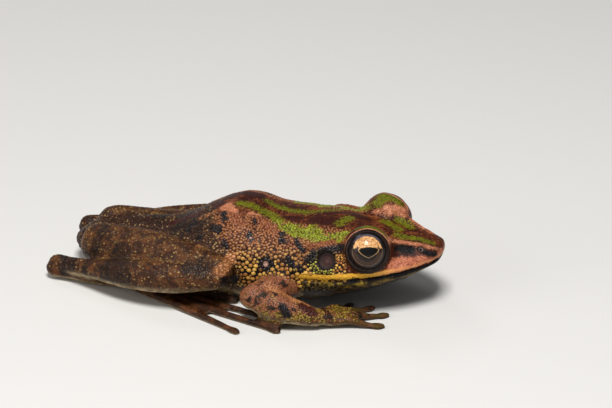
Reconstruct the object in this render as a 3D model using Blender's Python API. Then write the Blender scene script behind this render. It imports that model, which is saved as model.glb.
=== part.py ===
"""A life-size model of a Swinhoe's frog at rest, crouched on its belly with its legs folded.

Blender script, metres, +Z up, +X towards the snout, +Y to the frog's left, the floor at z = 0.
The head and trunk are modelled as one loft and then parted by thin cuts; each limb segment is a loft
of its own, cut clear of what it grows from, so that the named parts meet face to face.
"""

import math

import bmesh
import bpy
from mathutils import Matrix, Vector

MM = 0.001
GAP = 0.3  # between neighbouring parts
RIGHT, LEFT = -1, 1

# Driving sizes, in millimetres. "Behind" is the distance behind the snout tip.
SNOUT_TO_VENT = 60.0
HEAD_LENGTH = 20.0
HEAD_HALF_WIDTH = 9.6
EYE_RADIUS = 3.05
LID_THICKNESS = 0.5
TYMPANUM_RADIUS = 1.25
WEB_THICKNESS = 0.5

# How high the back, the belly and the widest line of the body run, as (behind, height).
BACK_LINE = (
    (0, 10.2), (2, 10.8), (6, 11.6), (10, 12.3), (15, 12.8), (20, 12.8), (26, 12.8),
    (32, 14.0), (36, 12.8), (40, 10.4), (44, 8.6), (48, 8.3), (54, 7.3), (60, 5.2),
)
BELLY_LINE = (
    (0, 8.3), (2, 7.0), (5, 5.4), (9, 3.7), (14, 2.0), (19, 0.4), (23, -0.5), (50, -0.5), (60, 1.8),
)
WIDEST_LINE = ((0, 9.4), (4, 8.5), (8, 7.5), (13, 6.8), (20, 6.6), (27, 5.8), (40, 4.6), (60, 3.8))
HALF_WIDTH = (
    (20, 9.6), (23, 9.3), (27, 9.6), (32, 10.2), (36, 9.3), (42, 6.8), (48, 4.9), (54, 4.3), (60, 3.4),
)
UPPER_SQUARENESS = ((0, 2.0), (5, 2.0), (12, 2.0), (24, 2.15), (60, 2.2))
LOWER_SQUARENESS = 2.3
SNOUT_ROUNDING = 1.3
VENT_ROUNDING = 3.2

# The eye: its centre, and where it looks, as degrees forward of sideways and above level.
EYE_BEHIND, EYE_ASIDE, EYE_HEIGHT = 10.6, 6.2, 10.85
GAZE_FORWARD, GAZE_UP = 19.0, 20.0
EYE_BULGE = 0.2
LID_RIM = 1.95  # from the middle of the eye to the flat rim of its lids, along the gaze

NECK_TOP, NECK_BOTTOM = 20.5, 22.5
MOUTH_CORNER = 0.6  # behind the end of the head
BLOCK_REACH = 30.0  # of the blocks that part the body, past it on every side
TYMPANUM_BEHIND, TYMPANUM_HEIGHT = 16.4, 9.5
TYMPANUM_DEPTH, EAR_RIM_WIDTH, EAR_RIM_RISE = 1.0, 0.35, 0.15
NOSTRIL_BEHIND, NOSTRIL_HEIGHT = 3.2, 10.25
NOSTRIL_WIDTHS = ((0, 0.42), (1, 0.3))
NOSTRIL_RIM = (0.9, 0.75, 0.75)

# Raised lines of the head and shoulder, as places (behind, aside, height) or (behind, height).
UPPER_LIP = {"above_mouth": 0.62, "inset": 0.18, "thickness": 0.55}
LOWER_LIP = {"above_mouth": -0.72, "inset": 0.3, "thickness": 0.5}
SNOUT_RIDGE = ((1.8, 1.5, 10.4), (4.5, 2.8, 10.9), (7.8, 4.4, 11.8))
EAR_FOLD = ((13.6, 10.6), (15.8, 11.2), (18.2, 10.7), (19.8, 9.3), (20.8, 7.8))
MOUTH_GLANDS = ((21.4, 0.85), (23.2, 0.95), (25.0, 0.8))  # behind, size
GLAND_SHAPE = (1.3, 0.7, 0.8)

# Each limb's joints, as (behind, aside, height), for the right side and the left.
SHOULDER = {RIGHT: (21.6, 7.2, 4.2), LEFT: (22.4, 7.2, 4.2)}
ELBOW = {RIGHT: (26.8, 13.6, 4.2), LEFT: (28.2, 13.2, 4.2)}
WRIST = {RIGHT: (17.0, 13.2, 1.9), LEFT: (18.8, 12.6, 1.9)}
HIP = {RIGHT: (54.6, 3.9, 4.7), LEFT: (54.8, 3.7, 4.2)}
THIGH_BEND = {RIGHT: (43.4, 7.7, 5.8), LEFT: (44.0, 6.2, 3.8)}
KNEE = {RIGHT: (32.6, 11.4, 7.0), LEFT: (33.4, 10.5, 5.6)}
SHANK_BEND = {RIGHT: (45.8, 12.4, 4.7), LEFT: (46.2, 10.2, 3.5)}
HEEL = {RIGHT: (60.6, 7.8, 2.5), LEFT: (60.6, 7.0, 2.4)}
FOOT_ROOT = {RIGHT: (47.8, 8.0, 1.2), LEFT: (47.6, 7.0, 1.2)}

# How far a limb's middle line bows or starts aside of a joint, as (ahead, aside, up).
UPPER_ARM_BOW, FOREARM_BOW, ANKLE_BOW = (0, 0.2, 0.3), (0, 0.6, 0.1), (0, 0.5, -0.2)
FOREARM_START, SHANK_START, ANKLE_START = (0.6, -0.3, -0.4), (-0.4, 0.9, -1.0), (-0.3, 0.2, -0.7)

# Digits in order from the thumb side: (bearing of the tip outwards from straight ahead in degrees,
# length from its root).
FINGERS = {
    RIGHT: ((-63, 6.6), (-48, 8.6), (-34, 9.4), (-16, 7.6)),
    LEFT: ((-57, 6.6), (-42, 8.6), (-27, 9.4), (-9, 7.6)),
}
TOES = {
    RIGHT: ((-5, 11.0), (3.5, 16.8), (10.5, 22.4), (16.8, 27.0), (25, 22.0)),
    LEFT: ((-8, 11.0), (0.5, 16.8), (8, 22.4), (14.5, 27.0), (21.5, 22.0)),
}
FINGER_ROOTS = (2.4, 0.9, 1.15)  # ahead of the wrist, apart from each other, and up
TOE_ROOTS = (0.0, 0.45, 0.85)
WEB_REACH = 0.78  # share of the shorter toe that the web runs along
WEB_LEAN = 0.35  # how far its edge runs on along the longer toe
WEB_NOTCH = 0.34
WEB_MARGIN = 0.03  # share of the angle between two toes that stays clear of their middle lines
WEB_ROOT, WEB_HEIGHT = 1.6, 0.4

# Half the width and half the height along each limb, as (share of its length, millimetres).
UPPER_ARM_GIRTH = ((0, 2.3), (0.5, 2.25), (1, 2.0))
FOREARM_GIRTH = ((0, 1.9), (0.35, 2.4), (0.75, 1.95), (1, 1.45))
THIGH_WIDTH = ((0, 3.3), (0.4, 3.9), (0.8, 2.9), (1, 2.1))
THIGH_HEIGHT = {
    RIGHT: ((0, 3.6), (0.4, 4.1), (0.8, 2.9), (1, 2.1)),
    LEFT: ((0, 3.6), (0.4, 3.3), (0.8, 2.9), (1, 2.1)),
}
SHANK_GIRTH = ((0, 1.9), (0.28, 2.6), (0.55, 2.3), (0.82, 1.4), (0.93, 1.3), (1, 1.45))
ANKLE_WIDTH = ((0, 1.5), (0.25, 1.2), (0.6, 1.25), (1, 1.75))
ANKLE_HEIGHT = ((0, 1.5), (0.25, 1.2), (0.6, 1.2), (1, 0.95))
PALM_LENGTH, PALM_END_HEIGHT = 4.2, 1.1
PALM_WIDTH = ((0, 1.4), (0.6, 2.05), (1, 1.75))
PALM_HEIGHT = ((0, 1.35), (0.6, 1.15), (1, 0.95))

# A finger or toe: half sizes of its shaft and its disc, and the height of its middle line.
DIGIT_HALF_WIDTH, DIGIT_HALF_HEIGHT = 0.54, 0.56
DISC_LENGTH, DISC_HALF_HEIGHT = 1.8, 0.46
FINGER_SHAPE = (0.8, 1.35, 0.95)  # half size at the root, height of the knuckle, half width of the disc
TOE_SHAPE = (0.72, 0.72, 0.88)
SHAFT_HEIGHT, DISC_HEIGHT, TIP_HEIGHT = 0.58, 0.4, 0.34


def along(knots, at):
    """The value at a place along (place, value) knots, on a smooth curve that never overshoots them."""
    at = min(max(at, knots[0][0]), knots[-1][0])
    i = max(j for j in range(len(knots) - 1) if knots[j][0] <= at)
    rises = [(b[1] - a[1]) / (b[0] - a[0]) for a, b in zip(knots, knots[1:])]

    def slope(j):
        if j in (0, len(rises)):
            return rises[min(j, len(rises) - 1)]
        before, after = rises[j - 1], rises[j]
        return 2 * before * after / (before + after) if before * after > 0 else 0.0

    span = knots[i + 1][0] - knots[i][0]
    t = (at - knots[i][0]) / span
    start, end = knots[i][1], knots[i + 1][1]
    bend_in, bend_out = slope(i) * span, slope(i + 1) * span
    return (
        start * (2 * t**3 - 3 * t**2 + 1) + bend_in * (t**3 - 2 * t**2 + t)
        + end * (3 * t**2 - 2 * t**3) + bend_out * (t**3 - t**2)
    )


def spot(behind, aside, height, side=LEFT):
    """A point of the frog in metres, from millimetres behind the snout tip, aside and up."""
    return Vector((SNOUT_TO_VENT / 2 - behind, side * aside, height)) * MM


def offset(amounts, side):
    """A short way in metres from millimetres ahead, aside and up."""
    ahead, aside, up = amounts
    return Vector((ahead, side * aside, up)) * MM


def smooth_path(points, count):
    """Evenly numbered points on a Catmull-Rom curve through the given ones."""
    ends = [2 * points[0] - points[1], *points, 2 * points[-1] - points[-2]]
    path = []
    for k in range(count):
        u = k * (len(points) - 1) / (count - 1)
        i = min(int(u), len(points) - 2)
        t = u - i
        a, b, c, d = ends[i:i + 4]
        square, cube = 2 * a - 5 * b + 4 * c - d, 3 * b - a - 3 * c + d
        path.append(0.5 * (2 * b + (c - a) * t + square * t**2 + cube * t**3))
    return path


def new_object(name, bm):
    """A mesh object with its faces turned outwards, in the model's collection."""
    bmesh.ops.recalc_face_normals(bm, faces=bm.faces)
    mesh = bpy.data.meshes.new(name)
    bm.to_mesh(mesh)
    bm.free()
    obj = bpy.data.objects.new(name, mesh)
    MODEL.objects.link(obj)
    return obj


def loft(name, rings, first_tip, last_tip):
    """A closed body through rings of equal count, closed by a point at each end."""
    bm = bmesh.new()
    loops = [[bm.verts.new(p) for p in ring] for ring in rings]
    for near, far in zip(loops, loops[1:]):
        for k in range(len(near)):
            n = (k + 1) % len(near)
            bm.faces.new((near[k], near[n], far[n], far[k]))
    for loop, tip in ((loops[0], first_tip), (loops[-1], last_tip)):
        point = bm.verts.new(tip)
        for k in range(len(loop)):
            bm.faces.new((loop[k], loop[(k + 1) % len(loop)], point))
    return new_object(name, bm)


def half_width(behind):
    """Half the width of the head, by a formula for its pointed plan, and of the trunk behind it."""
    if behind >= HEAD_LENGTH:
        return along(HALF_WIDTH, behind)
    share = max(behind, 0.0) / HEAD_LENGTH
    return HEAD_HALF_WIDTH * (1 - (1 - share) ** 2.2) ** 0.62


def end_rounding(behind):
    """How far the outline has opened from its points at the snout and the vent, from 0 to 1."""
    front = min(behind / SNOUT_ROUNDING, 1.0)
    rear = min((SNOUT_TO_VENT - behind) / VENT_ROUNDING, 1.0)
    return math.sqrt(max(1 - (1 - front) ** 2, 0.0)) * math.sqrt(max(1 - (1 - rear) ** 2, 0.0))


def body_point(behind, angle, grow=0.0):
    """A point of the body's surface. Angle 0 is the frog's left, 90 the back, 180 the right."""
    middle = along(WIDEST_LINE, behind)
    open_share = end_rounding(behind)
    wide = half_width(behind) * (open_share if behind > SNOUT_TO_VENT / 2 else 1.0) + grow
    c, s = math.cos(angle), math.sin(angle)
    if s >= 0:
        tall = (along(BACK_LINE, behind) - middle) * open_share + grow
        power = 2 / along(UPPER_SQUARENESS, behind)
    else:
        tall = (middle - along(BELLY_LINE, behind)) * open_share + grow
        power = 2 / LOWER_SQUARENESS
    aside = wide * math.copysign(abs(c) ** power, c)
    return spot(behind, aside, middle + tall * math.copysign(abs(s) ** power, s))


def body(name, grow=0.0):
    """Head and trunk in one, with rings closer together towards the snout."""
    sides, count = 30, 30
    start, end = 0.12, SNOUT_TO_VENT - 0.25
    places = []
    for k in range(count):
        u = k / (count - 1)
        places.append(start + (end - start) * (0.45 * u + 0.55 * (u**2 * (3 - 2 * u)) ** 1.1))
    rings = [[body_point(b, 2 * math.pi * k / sides, grow) for k in range(sides)] for b in places]
    snout = spot(-grow, 0, along(WIDEST_LINE, 0))
    vent = spot(SNOUT_TO_VENT + grow, 0, along(WIDEST_LINE, SNOUT_TO_VENT))
    return loft(name, rings, snout, vent)


def tube(name, points, widths, heights=None, sides=14, count=14, grow=0.0, blunt=1.0):
    """A tapering limb along a smooth path, oval across and rounded at both ends.

    Widths and heights are half sizes as (share of the path, millimetres)."""
    path = smooth_path(points, count)
    heights = heights or widths
    rings = []
    for k, centre in enumerate(path):
        heading = (path[min(k + 1, count - 1)] - path[max(k - 1, 0)]).normalized()
        across = Vector((0, 0, 1)).cross(heading).normalized()
        upward = heading.cross(across)
        share = k / (count - 1)
        wide = (along(widths, share) + grow) * MM
        tall = (along(heights, share) + grow) * MM
        ring = []
        for j in range(sides):
            angle = 2 * math.pi * (j + 0.5) / sides
            ring.append(centre + across * wide * math.cos(angle) + upward * tall * math.sin(angle))
        rings.append(ring)
    first, last = [], []
    for end, inner, caps in ((0, 1, first), (-1, -2, last)):
        outward = (path[end] - path[inner]).normalized()
        share = 0.0 if end == 0 else 1.0
        reach = (min(along(widths, share), along(heights, share)) * blunt + grow) * MM
        for turn in (math.radians(34), math.radians(66)):
            forward = outward * reach * math.sin(turn)
            caps.append([path[end] + (p - path[end]) * math.cos(turn) + forward for p in rings[end]])
        caps.append(path[end] + outward * reach)
    return loft(name, [first[1], first[0], *rings, last[0], last[1]], first[2], last[2])


def ball(name, centre, radii, segments=20, rings=12):
    """A sphere or an ellipsoid in place, its poles fore and aft."""
    bm = bmesh.new()
    bmesh.ops.create_uvsphere(bm, u_segments=segments, v_segments=rings, radius=1.0)
    bmesh.ops.rotate(bm, verts=bm.verts, matrix=Matrix.Rotation(math.pi / 2, 3, "Y"))
    bmesh.ops.scale(bm, verts=bm.verts, vec=Vector(radii) * MM)
    bmesh.ops.translate(bm, verts=bm.verts, vec=centre)
    return new_object(name, bm)


def peg(name, centre, axis, radius, start, end, sides=20):
    """A round bar along an axis through a centre, from start to end millimetres along it."""
    bm = bmesh.new()
    bmesh.ops.create_cone(
        bm, cap_ends=True, segments=sides, radius1=radius * MM, radius2=radius * MM, depth=(end - start) * MM
    )
    bmesh.ops.translate(bm, verts=bm.verts, vec=(0, 0, (start + end) / 2 * MM))
    bmesh.ops.rotate(bm, verts=bm.verts, matrix=axis.to_track_quat("Z", "Y").to_matrix())
    bmesh.ops.translate(bm, verts=bm.verts, vec=centre)
    return new_object(name, bm)


def flat_plate(name, outline, half_thickness, placement):
    """A plate with the given outline, extruded to both sides of it and then put in place."""
    curve = bpy.data.curves.new(name, "CURVE")
    curve.dimensions = "2D"
    curve.fill_mode = "BOTH"
    curve.extrude = half_thickness
    spline = curve.splines.new("POLY")
    spline.points.add(len(outline) - 1)
    for point, (x, y) in zip(spline.points, outline):
        point.co = (x, y, 0, 1)
    spline.use_cyclic_u = True
    source = bpy.data.objects.new(name, curve)
    MODEL.objects.link(source)
    graph = bpy.context.evaluated_depsgraph_get()
    bm = bmesh.new()
    bm.from_mesh(bpy.data.meshes.new_from_object(source.evaluated_get(graph)))
    bpy.data.objects.remove(source)
    bmesh.ops.remove_doubles(bm, verts=bm.verts, dist=1e-7)
    bmesh.ops.transform(bm, matrix=placement, verts=bm.verts)
    return new_object(name, bm)


def side_prism(name, outline):
    """A block across the whole frog, with an outline of (behind, height) points seen from the side."""
    middle = SNOUT_TO_VENT / 2
    points = [((middle - behind) * MM, height * MM) for behind, height in outline]
    return flat_plate(name, points, BLOCK_REACH * MM, Matrix.Rotation(math.pi / 2, 4, "X"))


def keep_largest(obj):
    """Leaves an object only its largest closed surface."""
    bm = bmesh.new()
    bm.from_mesh(obj.data)
    unseen, islands = set(bm.faces), []
    while unseen:
        stack, island = [unseen.pop()], []
        while stack:
            face = stack.pop()
            island.append(face)
            for edge in face.edges:
                for other in edge.link_faces:
                    if other in unseen:
                        unseen.remove(other)
                        stack.append(other)
        islands.append(island)
    islands.sort(key=lambda faces: sum(f.calc_area() for f in faces))
    for island in islands[:-1]:
        bmesh.ops.delete(bm, geom=island, context="FACES")
    bm.to_mesh(obj.data)
    bm.free()


def apply_modifiers(obj):
    """Makes the object's mesh what its modifiers show."""
    graph = bpy.context.evaluated_depsgraph_get()
    done = bpy.data.meshes.new_from_object(obj.evaluated_get(graph))
    obj.modifiers.clear()
    obj.data = done


def combine(obj, others, operation, keep_others=False, solver="EXACT"):
    """Joins other objects to this one, or cuts them from it, and tidies the result."""
    tools = bpy.data.collections.new("tools")
    bpy.context.scene.collection.children.link(tools)
    for other in others:
        tools.objects.link(other)
    cut = obj.modifiers.new(operation.lower(), "BOOLEAN")
    cut.operation = operation
    cut.operand_type = "COLLECTION"
    cut.collection = tools
    cut.solver = solver
    apply_modifiers(obj)
    keep_largest(obj)
    bpy.data.collections.remove(tools)
    if not keep_others:
        for other in others:
            bpy.data.objects.remove(other)
    return obj


def clipped(name, source, block):
    """A copy of the source inside a block."""
    obj = source.copy()
    obj.data = source.data.copy()
    obj.name = name
    MODEL.objects.link(obj)
    return combine(obj, [block], "INTERSECT", solver="MANIFOLD")


def stand_on_floor(obj):
    """Cuts off what is below the floor, which leaves small flats at one level."""
    bm = bmesh.new()
    bm.from_mesh(obj.data)
    geometry = bm.verts[:] + bm.edges[:] + bm.faces[:]
    bmesh.ops.bisect_plane(
        bm, geom=geometry, dist=1e-7, plane_co=(0, 0, 0), plane_no=(0, 0, -1), clear_outer=True
    )
    rims = [edge for edge in bm.edges if edge.is_boundary]
    bmesh.ops.holes_fill(bm, edges=rims, sides=0)
    bmesh.ops.recalc_face_normals(bm, faces=bm.faces)
    bm.to_mesh(obj.data)
    bm.free()
    return obj


def gaze(side):
    """The direction in which an eye looks."""
    forward, up = math.radians(GAZE_FORWARD), math.radians(GAZE_UP)
    level = math.cos(up)
    return Vector((math.sin(forward) * level, side * math.cos(forward) * level, math.sin(up)))


def eye_centre(side):
    return spot(EYE_BEHIND, EYE_ASIDE, EYE_HEIGHT, side)


def surface_at_height(behind, height, side):
    """Where the body's upper surface has this height, and which way it faces there."""
    angles = [math.pi / 2 * k / 200 for k in range(201)]
    angle = min(angles, key=lambda a: abs(body_point(behind, a).z - height * MM))
    point = body_point(behind, angle)
    along_body = body_point(behind + 0.5, angle) - body_point(behind - 0.5, angle)
    around = body_point(behind, angle + 0.02) - body_point(behind, angle - 0.02)
    normal = along_body.cross(around).normalized()
    if normal.y < 0:
        normal = -normal
    mirror = Vector((1, side, 1))
    return point * mirror, normal * mirror


def lip(name, above_mouth, inset, thickness):
    """A rounded lip from one corner of the mouth round the snout to the other."""
    points = []
    half_count, front, front_inset = 8, 0.25, 0.35
    for k in range(-half_count, half_count + 1):
        behind = HEAD_LENGTH * abs(k / half_count) ** 1.7 + front
        aside = math.copysign(max(half_width(behind) - inset, 0.0), k) if k else 0.0
        set_back = 0.0 if k else front_inset
        points.append(spot(behind + set_back, aside, along(WIDEST_LINE, behind) + above_mouth))
    widths = ((0, thickness * 0.8), (0.5, thickness), (1, thickness * 0.8))
    return tube(name, points, widths, sides=6, count=27)


def shoulder_details(side, grow=0.0):
    """The fold that curves over the ear down to the shoulder, and the glands behind the mouth."""
    fold = [surface_at_height(behind, height, side)[0] for behind, height in EAR_FOLD]
    details = [tube("ear_fold", fold, ((0, 0.45), (0.5, 0.6), (1, 0.5)), sides=8, count=11, grow=grow)]
    for behind, size in MOUTH_GLANDS:
        gland = body_point(behind, 0.06)
        gland.y *= side
        details.append(ball("mouth_gland", gland, [size * share + grow for share in GLAND_SHAPE], 10, 6))
    return details


def head_details():
    """Lids, lips, the ridges along the snout, nostril rims, ear rings and what lies behind the ears."""
    details = [lip("upper_lip", **UPPER_LIP), lip("lower_lip", **LOWER_LIP)]
    lid_radius = EYE_RADIUS + GAP + LID_THICKNESS
    for side in (RIGHT, LEFT):
        centre = eye_centre(side)
        details.append(ball("lids", centre, (lid_radius, lid_radius, lid_radius), 24, 16))
        ridge = [spot(*place, side) for place in SNOUT_RIDGE]
        details.append(tube("snout_ridge", ridge, ((0, 0.5), (1, 0.8)), sides=8, count=6))
        ear, outward = surface_at_height(TYMPANUM_BEHIND, TYMPANUM_HEIGHT, side)
        rim = TYMPANUM_RADIUS + GAP + EAR_RIM_WIDTH
        details.append(peg("ear_ring", ear, outward, rim, -TYMPANUM_DEPTH, EAR_RIM_RISE))
        details += shoulder_details(side)
        nostril, outward = surface_at_height(NOSTRIL_BEHIND, NOSTRIL_HEIGHT, side)
        details.append(ball("nostril_rim", nostril - outward * NOSTRIL_RIM[1] * 0.6 * MM, NOSTRIL_RIM, 10, 6))
    return details


def mouth_outline(rise):
    """The line of the mouth from behind its corner to ahead of the snout, moved up by a rise."""
    corner, count, ahead, below = HEAD_LENGTH + MOUTH_CORNER, 12, 3.0, 0.05
    places = [corner * (1 - k / count) for k in range(count + 1)] + [-ahead]
    return [(behind, along(WIDEST_LINE, behind) - below + rise) for behind in places]


def head_and_trunk():
    """The head, the lower jaw and the torso, parted from one body along the mouth and the neck."""
    whole = combine(body("whole"), head_details(), "UNION", solver="MANIFOLD")
    half = GAP / 2
    corner, corner_height = mouth_outline(0.0)[0]
    front = mouth_outline(0.0)[-1][0]
    above, below, rear = BLOCK_REACH, -BLOCK_REACH / 3, SNOUT_TO_VENT + BLOCK_REACH / 3
    head_outline = [
        (NECK_TOP - half, above), (corner - half, corner_height + half), *mouth_outline(half)[1:],
        (front, above),
    ]
    jaw_outline = [
        (NECK_BOTTOM - half, below), (corner - half, corner_height - half), *mouth_outline(-half)[1:],
        (front, below),
    ]
    trunk_outline = [
        (NECK_TOP + half, above), (corner + half, corner_height), (NECK_BOTTOM + half, below),
        (rear, below), (rear, above),
    ]
    head_block = side_prism("head_block", head_outline)
    jaw_block = side_prism("jaw_block", jaw_outline)
    trunk_block = side_prism("trunk_block", trunk_outline)
    head = clipped("head", whole, head_block)
    jaw = clipped("lower_jaw", whole, jaw_block)
    torso = clipped("torso", whole, trunk_block)
    bpy.data.objects.remove(whole)
    return head, jaw, torso


def eyes_and_ears(head):
    """Sockets, pupillary openings between the lids, nostrils and ear pockets, and what sits in them."""
    cutters = []
    for side in (RIGHT, LEFT):
        name = "left" if side == LEFT else "right"
        centre, look = eye_centre(side), gaze(side)
        seat = centre + look * EYE_BULGE * MM
        socket = EYE_RADIUS + GAP
        cutters.append(ball("socket", seat, (socket, socket, socket), 24, 16))
        cutters.append(peg("lid_opening", centre, look, socket + LID_THICKNESS, LID_RIM, 2 * EYE_RADIUS, 24))
        eye = ball(f"eye_{name}", seat, (EYE_RADIUS, EYE_RADIUS, EYE_RADIUS), 20, 12)
        finish(eye, "eye")
        ear, outward = surface_at_height(TYMPANUM_BEHIND, TYMPANUM_HEIGHT, side)
        pocket = TYMPANUM_RADIUS + GAP
        cutters.append(peg("ear_pocket", ear, outward, pocket, -TYMPANUM_DEPTH, 2 * TYMPANUM_DEPTH))
        drum = peg(f"tympanum_{name}", ear, outward, TYMPANUM_RADIUS, GAP - TYMPANUM_DEPTH, 0.0)
        finish(drum, "tympanum")
        nostril, outward = surface_at_height(NOSTRIL_BEHIND, NOSTRIL_HEIGHT, side)
        inward = -outward + Vector((0.5, 0, 0))
        outer, inner = nostril + outward * 1.4 * MM, nostril + inward * 0.9 * MM
        cutters.append(tube("nostril", [outer, nostril, inner], NOSTRIL_WIDTHS, sides=8, count=5))
    combine(head, cutters, "DIFFERENCE", solver="MANIFOLD")


def arm(side):
    """Functions that make the upper arm and the forearm, each at its true size or grown."""
    shoulder, elbow, wrist = (spot(*joint[side], side) for joint in (SHOULDER, ELBOW, WRIST))
    upper_bend = shoulder.lerp(elbow, 0.5) + offset(UPPER_ARM_BOW, side)
    lower_bend = elbow.lerp(wrist, 0.45) + offset(FOREARM_BOW, side)
    forearm_start = elbow + offset(FOREARM_START, side)

    def upper_arm(name, grow=0.0):
        return tube(name, [shoulder, upper_bend, elbow], UPPER_ARM_GIRTH, count=10, grow=grow)

    def forearm(name, grow=0.0):
        return tube(name, [forearm_start, lower_bend, wrist], FOREARM_GIRTH, count=11, grow=grow)

    return upper_arm, forearm


def leg(side):
    """Functions that make the thigh and the shank, each at its true size or grown."""
    joints = (HIP, THIGH_BEND, KNEE, SHANK_BEND, HEEL)
    hip, thigh_bend, knee, shank_bend, heel = (spot(*joint[side], side) for joint in joints)
    shank_start = knee + offset(SHANK_START, side)

    def thigh(name, grow=0.0):
        path = [hip, thigh_bend, knee]
        return tube(name, path, THIGH_WIDTH, THIGH_HEIGHT[side], sides=14, count=12, grow=grow)

    def shank(name, grow=0.0):
        return tube(name, [shank_start, shank_bend, heel], SHANK_GIRTH, sides=12, count=13, grow=grow)

    return thigh, shank


def digit(name, root, bearing, length, side, shape):
    """A finger or toe with its knuckle raised and a flattened disc at its tip, lying on the floor.

    Its path has five points, the last two at the start and the end of the disc."""
    root_size, arch, disc = shape
    turn = math.radians(bearing)
    heading = Vector((math.cos(turn), side * math.sin(turn), 0))
    disc_start = 1 - DISC_LENGTH / length
    middle_line = (
        (0, root.z / MM), (0.33, arch), (0.66, SHAFT_HEIGHT), (disc_start, DISC_HEIGHT), (1, TIP_HEIGHT),
    )
    points = []
    for share, height in middle_line:
        point = root + heading * length * share * MM
        point.z = height * MM
        points.append(point)
    widths = (
        (0, root_size), (0.5, DIGIT_HALF_WIDTH * 1.1), (0.75, DIGIT_HALF_WIDTH), (0.875, disc),
        (1, disc * 0.75),
    )
    heights = (
        (0, root_size), (0.5, DIGIT_HALF_HEIGHT), (0.75, DISC_HALF_HEIGHT), (1, DISC_HALF_HEIGHT * 0.85),
    )
    return tube(name, points, widths, heights, sides=8, count=9, blunt=1.4)


def digits(name, root, heading, roots, tips, side, shape):
    """All the fingers or toes of one limb, their roots side by side across its heading."""
    ahead, apart, up = roots
    across = Vector((-heading.y, heading.x, 0)) * side
    made = []
    for k, (bearing, length) in enumerate(tips):
        start = root + heading * ahead * MM + across * (k - (len(tips) - 1) / 2) * apart * MM
        start.z = up * MM
        made.append(digit(name, start, bearing, length, side, shape))
    return made


def hand(side):
    """The palm and four long free fingers."""
    wrist = spot(*WRIST[side], side)
    palm_bearing = math.radians(FINGERS[side][1][0])
    heading = Vector((math.cos(palm_bearing), side * math.sin(palm_bearing), 0))
    palm_end = wrist + heading * PALM_LENGTH * MM
    palm_end.z = PALM_END_HEIGHT * MM
    name = "left" if side == LEFT else "right"
    path = [wrist, wrist.lerp(palm_end, 0.5), palm_end]
    palm = tube(f"hand_{name}", path, PALM_WIDTH, PALM_HEIGHT, sides=12, count=7)
    fingers = digits("finger", wrist, heading, FINGER_ROOTS, FINGERS[side], side, FINGER_SHAPE)
    return combine(palm, fingers, "UNION")


def web(name, root, toes, side):
    """The thin skin between the toes, in one fan whose edge is notched between each two of them."""
    edge = []
    for first, second in zip(toes, toes[1:]):
        reach = min(first[1], second[1]) * WEB_REACH
        longer = max(first[1], second[1]) * WEB_REACH
        for k in range(5):
            across = k / 4
            lean = across if second[1] > first[1] else 1 - across
            turn = WEB_MARGIN + (1 - 2 * WEB_MARGIN) * across
            bearing = math.radians(first[0] + (second[0] - first[0]) * turn)
            length = reach + (longer - reach) * WEB_LEAN * lean
            edge.append((bearing, length * (1 - WEB_NOTCH * math.sin(math.pi * across))))
    outline = [(WEB_ROOT * math.cos(edge[k][0]), WEB_ROOT * math.sin(edge[k][0])) for k in (-1, 0)]
    outline += [(length * math.cos(bearing), length * math.sin(bearing)) for bearing, length in edge]
    points = [((root.x + x * MM), (root.y + side * y * MM)) for x, y in outline]
    return flat_plate(name, points, WEB_THICKNESS / 2 * MM, Matrix.Translation((0, 0, WEB_HEIGHT * MM)))


def foot(side):
    """The long ankle, five toes and the full web between them, in one piece along the floor."""
    name = "left" if side == LEFT else "right"
    heel = spot(*HEEL[side], side) + offset(ANKLE_START, side)
    root = spot(*FOOT_ROOT[side], side)
    path = [heel, heel.lerp(root, 0.5) + offset(ANKLE_BOW, side), root]
    ankle = tube(f"foot_{name}", path, ANKLE_WIDTH, ANKLE_HEIGHT, sides=12, count=9)
    toes = digits("toe", root, Vector((1, 0, 0)), TOE_ROOTS, TOES[side], side, TOE_SHAPE)
    toes.append(web("web", Vector((root.x, root.y, 0)), TOES[side], side))
    return combine(ankle, toes, "UNION")


LOOKS = {
    "back_skin": ((0.23, 0.10, 0.05), 0.38),
    "flank_skin": ((0.36, 0.20, 0.11), 0.42),
    "throat_skin": ((0.16, 0.11, 0.05), 0.45),
    "leg_skin": ((0.17, 0.09, 0.045), 0.42),
    "arm_skin": ((0.33, 0.17, 0.09), 0.42),
    "eye": ((0.05, 0.03, 0.015), 0.08),
    "tympanum": ((0.12, 0.06, 0.05), 0.35),
}


def finish(obj, look):
    """Gives a part its material and a smooth shading that keeps its sharp rims."""
    material = bpy.data.materials.get(look)
    if material is None:
        material = bpy.data.materials.new(look)
        material.use_nodes = True
        colour, roughness = LOOKS[look]
        shader = material.node_tree.nodes["Principled BSDF"]
        shader.inputs["Base Color"].default_value = (*colour, 1)
        shader.inputs["Roughness"].default_value = roughness
        shader.inputs["Metallic"].default_value = 0.0
    obj.data.materials.clear()
    obj.data.materials.append(material)
    obj.data.shade_smooth()
    obj.data.set_sharp_from_angle(angle=math.radians(38))


def clear_of(obj, *grown):
    """Cuts an object clear of its grown neighbours, which are kept."""
    return combine(obj, grown, "DIFFERENCE", keep_others=True)


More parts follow.
